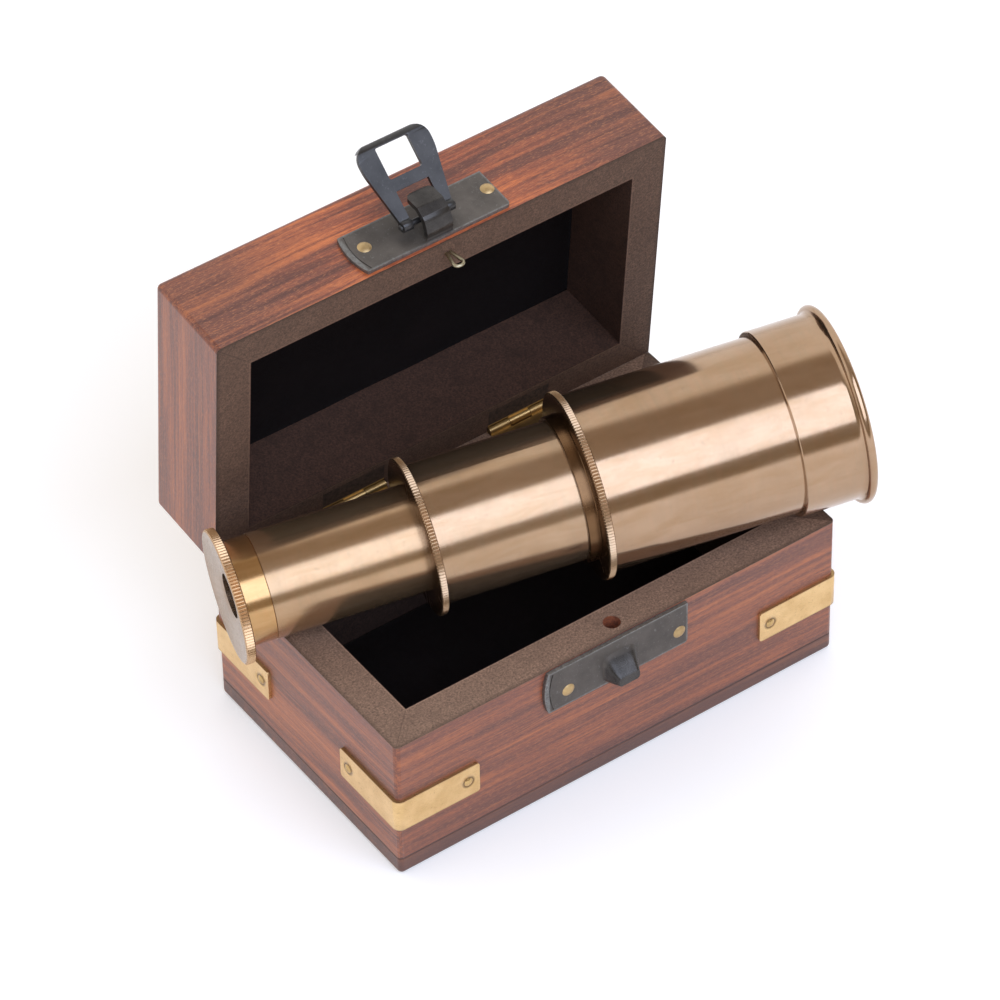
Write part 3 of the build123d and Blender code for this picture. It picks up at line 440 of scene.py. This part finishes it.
def plate_trim(low):
    """A trim for a latch plate whose lower edge is at the height low."""
    def near(m, p):
        x, _, z = m.split(p)
        side = m.math("SUBTRACT", PLATE_HALF_X, m.apart(x, LATCH_X))
        end = m.math("SUBTRACT", PLATE_HALF_Z, m.apart(z, low + PLATE_HALF_Z))
        return m.range(m.math("MINIMUM", side, end), 0.45, 0.12)
    return near


def from_nail(m, x, y, z):
    """How far a point of a strap is from its nearest nail's middle."""
    high = m.math("POWER", m.math("SUBTRACT", z, STRAP_MIDDLE), 2.0)
    front = m.math("POWER", m.math("SUBTRACT", m.math("ABSOLUTE", x), NAIL_X), 2.0)
    end = m.math("POWER", m.math("SUBTRACT", m.math("ABSOLUTE", y), NAIL_Y), 2.0)
    return m.math("SQRT", m.math("ADD", high, m.math("MINIMUM", front, end)))


# the straps: clouded and nicked, darker along their edges, with a dark dent round each nail
straps = Build("strap_brass", Metallic=0.9)
spot = straps.local(FLAT, ZERO)
cloudy = straps.noise(straps.stretch(spot, (0.22, 0.22, 0.22)), 1.0, 4.0, 0.6)
rolled = straps.noise(straps.stretch(spot, (0.8, 0.8, 9.0)), 1.0, 4.0, 0.65)
nicks = straps.noise(straps.stretch(spot, (1.7, 1.7, 1.7)), 1.0, 4.0, 0.65, 0.8)
strap_x, strap_y, strap_z = straps.split(spot)
around_nail = from_nail(straps, strap_x, strap_y, strap_z)
off_middle = straps.apart(strap_z, STRAP_MIDDLE)
shade = straps.mix(straps.range(cloudy, 0.35, 0.68), (0.80, 0.55, 0.27, 1), (0.66, 0.43, 0.19, 1))
shade = straps.mix(straps.range(nicks, 0.60, 0.74, 0.0, 0.55), shade, (0.36, 0.21, 0.085, 1))
shade = straps.mix(straps.range(around_nail, 1.55, 1.05, 0.0, 0.85), shade, (0.10, 0.055, 0.025, 1))
shade = straps.mix(straps.range(off_middle, STRAP_HALF - 0.3, STRAP_HALF - 0.03, 0.0, 0.5), shade,
                   (0.30, 0.19, 0.085, 1))
dent = straps.range(around_nail, 0.9, 1.8)
straps.set(Base_Color=shade, Roughness=straps.range(rolled, 0.3, 0.7, 0.24, 0.38),
           Normal=straps.bump(dent, 0.25, 0.8, straps.bump(rolled, 0.012, 0.6)))
strap_brass = straps.material

knuckle_brass = (0.52, 0.35, 0.15, 1)
hinge_brass = sheet_metal("hinge_brass", knuckle_brass, (0.7, 0.5, 0.25, 1), 0.34, 0.95)

# the lid's leaves: a painted shade of dark brown, with bare brass only at their knuckles
leaf_shade = Build("painted_shade_leaf")
spot = leaf_shade.local(FLAT, ZERO)
_, leaf_back, leaf_up = leaf_shade.split(spot)
knuckle = leaf_shade.range(leaf_shade.distance(leaf_back, HINGE_BACK, leaf_up, JOINT), 1.7, 1.3)
mottled = leaf_shade.noise(leaf_shade.stretch(spot, (1.6, 1.6, 1.6)), 1.0, 4.0, 0.65)
# painted shade: the leaves' plates are coloured dark brown
plate = leaf_shade.mix(leaf_shade.range(mottled, 0.35, 0.65), (0.034, 0.019, 0.013, 1), (0.085, 0.050, 0.034, 1))
leaf_shade.set(Base_Color=leaf_shade.mix(knuckle, plate, knuckle_brass),
            Metallic=leaf_shade.blend(knuckle, 0.15, 0.95),
            Roughness=leaf_shade.blend(knuckle, 0.72, 0.3),
            Normal=leaf_shade.bump(mottled, 0.03, 0.6))
painted_shade_leaf = leaf_shade.material

nail_brass = sheet_metal("nail_brass", (0.66, 0.44, 0.19, 1), (0.40, 0.25, 0.10, 1), 0.24, 0.95)
rivet_brass = sheet_metal("rivet_brass", (0.56, 0.39, 0.19, 1), (0.36, 0.25, 0.12, 1), 0.42, 0.9)
steel = (0.105, 0.091, 0.080, 1)
# the dark colour painted on the proud parts, a painted dark reflection
proud_reflection_steel = (0.040, 0.036, 0.033, 1)
rubbed_steel = (0.26, 0.26, 0.25, 1)
black_steel = sheet_metal("blackened_steel", steel, rubbed_steel, 0.40, 0.7, 0.7, 0.02,
                          trim=plate_trim(PLATE_BASE_LOW), boss=proud_reflection_steel)
black_lid = sheet_metal("blackened_plate", (0.13, 0.113, 0.10, 1), rubbed_steel, 0.42, 0.7, 0.7, 0.02,
                        rows=LID_ROWS, origin=LID_ORIGIN,
                        trim=plate_trim(PLATE_LID_LOW), boss=proud_reflection_steel)
black_hasp = sheet_metal("blackened_hasp", (0.066, 0.063, 0.062, 1), (0.18, 0.175, 0.17, 1), 0.34, 0.75)
wire = sheet_metal("bright_wire", (0.50, 0.44, 0.30, 1), (0.68, 0.64, 0.52, 1), 0.32, 1.0)

paint(aged, "barrel_tube", "chamber_sleeve")
paint(aged_middle, "middle_draw_tube")
paint(aged_small, "small_draw_tube")
paint(aged_ring, "eyepiece_cap", "middle_ring", "barrel_ring")
paint(golden, "eyepiece_collar")
paint(inner_brass, "chamber_snap_ring", "middle_guide_bush", "small_guide_bush", "mirror_end_ring",
      "chamber_spacer_ring", "chamber_retaining_ring")
paint(strap_brass, "corner_strap_front_left", "corner_strap_front_right", "corner_strap_rear_left",
      "corner_strap_rear_right")
paint(hinge_brass, "hinge_base_leaf_left", "hinge_base_leaf_right", "hinge_pin_left", "hinge_pin_right",
      "hinge_base_nails")
# the lid's leaves take the painted shade
paint(painted_shade_leaf, "hinge_lid_leaf_left", "hinge_lid_leaf_right", "hinge_lid_nails")
paint(nail_brass, "strap_nails")
paint(rivet_brass, "catch_rivets", "latch_rivets")
paint(black_steel, "catch_plate")
paint(black_lid, "latch_plate")
paint(black_hasp, "hasp", "latch_pin")
paint(wire, "locating_loop")


# ---------------------------------------------------------------- glass, mirrors, felt and chips
def glass(name, colour, rough):
    m = Build(name, IOR=1.5, Transmission_Weight=1.0)
    p = m.local(SCOPE_ROWS, SCOPE_ORIGIN)
    smear = m.noise(m.stretch(p, (0.3, 0.3, 0.3)), 1.0, 4.0, 0.6)
    clouded = m.mix(m.range(smear, 0.3, 0.7), colour, tint(colour, 0.9))
    m.set(Base_Color=clouded, Roughness=m.range(smear, 0.3, 0.7, rough, rough + 0.06),
          Normal=m.bump(smear, 0.01, 0.4))
    return m.material


paint(glass("clear_glass", (0.93, 0.96, 0.95, 1), 0.01), "eye_glass", "chamber_inner_glass")
paint(glass("frosted_glass", (0.93, 0.95, 0.94, 1), 0.32), "chamber_outer_glass")
paint(glass("red_glass", (0.75, 0.03, 0.03, 1), 0.04), "red_chips")
paint(glass("amber_glass", (0.95, 0.48, 0.04, 1), 0.04), "amber_chips")
paint(glass("green_glass", (0.04, 0.55, 0.14, 1), 0.04), "green_chips")
paint(glass("blue_glass", (0.04, 0.14, 0.75, 1), 0.04), "blue_chips")

silver = Build("mirror_silver", Metallic=1.0)
haze = silver.noise(silver.stretch(silver.local(SCOPE_ROWS, SCOPE_ORIGIN), (0.4, 0.4, 0.4)), 1.0, 4.0)
silver.set(Base_Color=silver.mix(silver.range(haze, 0.3, 0.7), (0.86, 0.88, 0.88, 1), (0.8, 0.83, 0.84, 1)),
           Roughness=silver.range(haze, 0.3, 0.7, 0.02, 0.06))
paint(silver.material, "mirror_top", "mirror_left", "mirror_right")


def cloth(name, colour, lint, rows, origin, sheen):
    """Short-piled velvet with a little lint."""
    m = Build(name, Roughness=0.95, Specular_IOR_Level=0.08, Sheen_Weight=sheen, Sheen_Roughness=0.4)
    p = m.local(rows, origin)
    pile = m.noise(m.stretch(p, (4.0, 4.0, 4.0)), 1.0, 4.0, 0.75)
    nap = m.noise(m.stretch(p, (0.09, 0.09, 0.09)), 1.0, 3.0, 0.6)
    thread = m.noise(m.stretch(p, (1.1, 2.6, 2.6)), 1.0, 3.0, 0.6, 1.2)
    shade = m.mix(m.range(pile, 0.3, 0.7), tint(colour, 0.6), tint(colour, 1.5))
    shade = m.mix(m.range(nap, 0.4, 0.7, 0.0, 0.5), shade, tint(colour, 1.8))
    shade = m.mix(m.range(thread, 0.745, 0.80, 0.0, 0.6), shade, lint)
    m.set(Base_Color=shade, Normal=m.bump(pile, 0.2, 1.0))
    return m.material


# the felt packing: the CAD pads with their edges rounded and pressed
pads = bpy.data.objects.new("mirror_pads_felt", NODES["mirror_pads"].data.copy())
bpy.context.scene.collection.objects.link(pads)
pads.matrix_world = NODES["mirror_pads"].matrix_world.copy()
pads.data.materials.clear()
pads.data.materials.append(
    cloth("felt", (0.02, 0.02, 0.02, 1), (0.05, 0.05, 0.05, 1), SCOPE_ROWS, SCOPE_ORIGIN, 0.1))
joined = pads.modifiers.new("joined", "WELD")
joined.merge_threshold = JOIN_WITHIN
rounded = pads.modifiers.new("rounded", "REMESH")
rounded.mode = "VOXEL"
rounded.voxel_size = 0.35 * MM
rounded.use_smooth_shade = True
pressed = pads.modifiers.new("pressed", "SMOOTH")
pressed.factor = 0.5
pressed.iterations = 4
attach(pads, "small_draw")
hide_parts("mirror_pads")


# ---------------------------------------------------------------- finer edges on the CAD pieces
def soften(width, *names):
    """Rounds the sharp edges of CAD nodes by a width in millimetres."""
    for name in names:
        weld = NODES[name].modifiers.new("joined", "WELD")
        weld.merge_threshold = JOIN_WITHIN
        bevel = NODES[name].modifiers.new("edge", "BEVEL")
        bevel.width = width * MM
        bevel.segments = 2
        bevel.limit_method = "ANGLE"
        bevel.angle_limit = math.radians(40)
        bevel.harden_normals = True


# ---------------------------------------------------------------- pieces made here
def mesh_piece(name, points, faces, material, body, smooth=40):
    """Make a piece from points in millimetres. Faces meeting at less than smooth degrees shade as one."""
    data = bpy.data.meshes.new(name)
    data.from_pydata([tuple(p * MM) for p in points], [], faces)
    data.materials.append(material)
    data.update()
    data.shade_smooth()
    data.set_sharp_from_angle(angle=math.radians(smooth))
    made = bpy.data.objects.new(name, data)
    bpy.context.scene.collection.objects.link(made)
    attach(made, body)
    return made


def turned_piece(name, profile, count, body, material):
    """A ring turned about the scope's axis. The profile is a closed loop of (station, radius, tooth
    depth), and count is how many teeth go round. Each tooth is a flat-topped ridge."""
    shape = (0.0, 0.0, 0.6, 1.0, 0.6)
    steps = len(shape)
    size = len(profile)
    total = count * steps
    points = []
    for k in range(total):
        flat_start = 0.25 if k % steps == 0 else 0.0
        angle = 2 * math.pi * (k + flat_start) / total
        for station, radius, tooth in profile:
            points.append(on_scope(station, radius - tooth * shape[k % steps], angle))
    faces = []
    for k in range(total):
        near = k * size
        far = ((k + 1) % total) * size
        for j in range(size):
            after = (j + 1) % size
            faces.append((near + j, near + after, far + after, far + j))
    return mesh_piece(name, points, faces, material, body, 28)


knurl = 0.24  # how deep the teeth are
cap = turned_piece("eyepiece_cap_knurled", [
    (1.10, 4.3, 0), (0.92, 4.9, 0), (0.75, 6.2, 0), (0.5, 8.6, 0), (0.22, 11.2, 0), (0.06, 11.9, 0),
    (0.0, 12.2, 0), (0.0, 12.48, 0), (0.05, 12.6, 0.02), (0.22, 12.9, knurl), (0.45, 12.94, knurl),
    (1.45, 12.94, knurl), (1.68, 12.9, knurl), (1.85, 12.6, 0.02), (1.9, 12.45, 0), (1.9, 11.0, 0),
    (1.9, 8.6, 0), (3.2, 8.6, 0), (3.2, 4.3, 0)], 125, "small_draw", aged_cap)
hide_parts("eyepiece_cap")
middle = turned_piece("middle_ring_knurled", [
    (36.9, 10.15, 0), (36.9, 14.6, 0), (36.95, 14.78, 0.02), (37.1, 15.1, knurl), (37.25, 15.14, knurl),
    (38.05, 15.14, knurl), (38.2, 15.1, knurl), (38.35, 14.78, 0.02), (38.4, 14.6, 0), (38.4, 12.9, 0),
    (40.6, 12.9, 0), (40.6, 10.15, 0)], 150, "middle_draw", aged_ring)
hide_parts("middle_ring")
large = turned_piece("barrel_ring_knurled", [
    (66.1, 13.45, 0), (66.1, 13.95, 0), (66.2, 14.08, 0), (66.35, 14.1, 0), (68.3, 14.1, 0),
    (68.4, 14.2, 0), (68.4, 17.55, 0), (68.45, 17.75, 0.02), (68.62, 18.1, knurl), (68.78, 18.14, knurl),
    (69.62, 18.14, knurl), (69.78, 18.1, knurl), (69.95, 17.75, 0.02), (70.0, 17.55, 0), (70.0, 16.5, 0),
    (75.1, 16.5, 0), (75.1, 13.45, 0)], 180, "barrel", aged_ring)
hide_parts("barrel_ring")


VELVET_X, VELVET_Y = 42.5, 22.1  # half the width and the depth of each sheet
BASE_VELVET = 4.75  # height of the sheet in the base
LID_VELVET = 16.95  # and of the one in the lid, above the joint


def velvet_sheet(name, place, normal, cad_node, body, material, seed):
    """A glued velvet lining: a sheet with soft unevenness, its border turned down at the walls."""
    random.seed(seed)
    half_x, half_y = VELVET_X, VELVET_Y
    columns, rows = 150, 80
    waves = []
    for _ in range(7):
        waves.append((random.uniform(0.05, 0.35), random.uniform(0.05, 0.35), random.uniform(0, 6.28)))
    points = []
    for j in range(rows + 1):
        for i in range(columns + 1):
            x = -half_x + 2 * half_x * i / columns
            y = -half_y + 2 * half_y * j / rows
            rise = 0.035 * sum(math.sin(a * x + b * y + c) for a, b, c in waves) / 2.0
            rise += random.uniform(-0.02, 0.02)
            near = min(half_x - abs(x), half_y - abs(y))
            rise -= 0.22 * math.exp(-near / 0.5)
            points.append(place(x, y) + normal * rise)
    faces = []
    for j in range(rows):
        for i in range(columns):
            a = j * (columns + 1) + i
            faces.append((a, a + 1, a + columns + 2, a + columns + 1))
    made = mesh_piece(name, points, faces, material, body, 180)
    thick = made.modifiers.new("thickness", "SOLIDIFY")
    thick.thickness = 0.4 * MM
    thick.offset = -1
    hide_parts(cad_node)
    return made


black = (0.0055, 0.0028, 0.0024, 1)
lint_colour = (0.035, 0.028, 0.026, 1)
base_pile = cloth("base_velvet_pile", black, lint_colour, FLAT, ZERO, 0.06)
lid_pile = cloth("lid_velvet_pile", black, lint_colour, LID_ROWS, LID_ORIGIN, 0.02)
velvet_sheet("base_velvet_cloth", lambda x, y: Vector((x, y, BASE_VELVET)), Vector((0, 0, 1)),
             "base_velvet", "case", base_pile, 3)
velvet_sheet("lid_velvet_cloth", lambda x, y: on_lid(x, -y, LID_VELVET), -LID_UP,
             "lid_velvet", "lid", lid_pile, 5)

soften(0.12, "hasp", "latch_plate", "catch_plate")
soften(0.10, "corner_strap_front_left", "corner_strap_front_right", "corner_strap_rear_left",
       "corner_strap_rear_right")
for side, _, _ in WALLS:
    soften(0.22, f"base_wall_{side}", f"lid_wall_{side}")

# ---------------------------------------------------------------- floor, light and camera
floor_look = Build("pale_floor", Roughness=0.9, Specular_IOR_Level=0.1, Base_Color=(0.9, 0.9, 0.9, 1),
                   Emission_Color=(1.0, 0.94, 0.85, 1), Emission_Strength=0.22)
bpy.ops.mesh.primitive_plane_add(size=40)
floor = bpy.context.object
floor.name = "pale_floor"
floor.data.materials.append(floor_look.material)

world = bpy.data.worlds.new("studio")
bpy.context.scene.world = world
world.use_nodes = True
tree = world.node_tree
tree.nodes.clear()


def world_node(kind, inputs=None, **settings):
    made = tree.nodes.new("ShaderNode" + kind)
    for key, value in settings.items():
        setattr(made, key, value)
    for key, value in (inputs or {}).items():
        if isinstance(value, bpy.types.NodeSocket):
            tree.links.new(value, made.inputs[key])
        else:
            made.inputs[key].default_value = value
    return made


direction = world_node("TexCoord").outputs["Generated"]
parts = world_node("SeparateXYZ", {0: direction})
# a pale room: white at the back, dimmer and warmer overhead and at the front, a little less so at the left
dim_front = (0.34, 0.27, 0.18, 1)
dim_top = (0.42, 0.345, 0.27, 1)
white_back = (1.15, 1.15, 1.15, 1)
behind = world_node("MapRange", {0: parts.outputs[1], 1: -0.25, 2: 0.15, 3: 0.0, 4: 1.0}, clamp=True)
leftwards = world_node("MapRange", {0: parts.outputs[0], 1: -0.35, 2: -0.75, 3: 0.0, 4: 0.09}, clamp=True)
around = world_node("Math", {0: behind.outputs[0], 1: leftwards.outputs[0]}, operation="MAXIMUM")
walls = world_node("Mix", {0: around.outputs[0], 6: dim_front, 7: white_back}, data_type="RGBA")
upwards = world_node("MapRange", {0: parts.outputs[2], 1: 0.90, 2: 0.95, 3: 0.0, 4: 1.0}, clamp=True)
room = world_node("Mix", {0: upwards.outputs[0], 6: walls.outputs[2], 7: dim_top}, data_type="RGBA")
seen = world_node("LightPath")
white = (1, 1, 1, 1)
is_camera = seen.outputs["Is Camera Ray"]
level = world_node("Mix", {0: is_camera, 6: room.outputs[2], 7: white}, data_type="RGBA")
backdrop = world_node("Background", {"Color": level.outputs[2], "Strength": 1.0})
world_node("OutputWorld", {"Surface": backdrop.outputs[0]})

OBJECT_MIDDLE = Vector((0, 0, 0.045))


def softbox(name, azimuth, elevation, distance, width, height, radiance, colour=(1, 1, 1)):
    """A rectangular soft light that faces the object. Azimuth 0 is the front and 90 the right, in degrees.
    Distance, width and height are in metres."""
    data = bpy.data.lights.new(name, "AREA")
    data.shape = "RECTANGLE"
    data.size = width
    data.size_y = height
    data.energy = radiance * math.pi * width * height
    data.color = colour
    made = bpy.data.objects.new(name, data)
    bpy.context.scene.collection.objects.link(made)
    az, el = math.radians(azimuth), math.radians(elevation)
    away = Vector((math.sin(az) * math.cos(el), -math.cos(az) * math.cos(el), math.sin(el)))
    made.location = OBJECT_MIDDLE + away * distance
    made.rotation_euler = away.to_track_quat("Z", "Y").to_euler()
    made.visible_camera = False
    return made


softbox("front_softbox", azimuth=-4, elevation=43.5, distance=1.7, width=2.1, height=1.42, radiance=2.7,
        colour=(0.84, 1.0, 1.32))

# the camera that was fitted to the case's corners in the photo, placed in metres
camera_data = bpy.data.cameras.new("camera")
camera_data.lens = 215.737
camera_data.sensor_width = 36.0
camera_data.clip_start = 0.01
camera_data.clip_end = 100
camera = bpy.data.objects.new("camera", camera_data)
bpy.context.scene.collection.objects.link(camera)
camera.matrix_world = Matrix((
    (0.813578, 0.410432, -0.411869, -0.460193),
    (-0.581238, 0.554665, -0.595407, -0.657340),
    (-0.015925, 0.723803, 0.689822, 0.808891),
    (0, 0, 0, 1)))
bpy.context.scene.camera = camera
bpy.context.scene.view_settings.view_transform = "Standard"
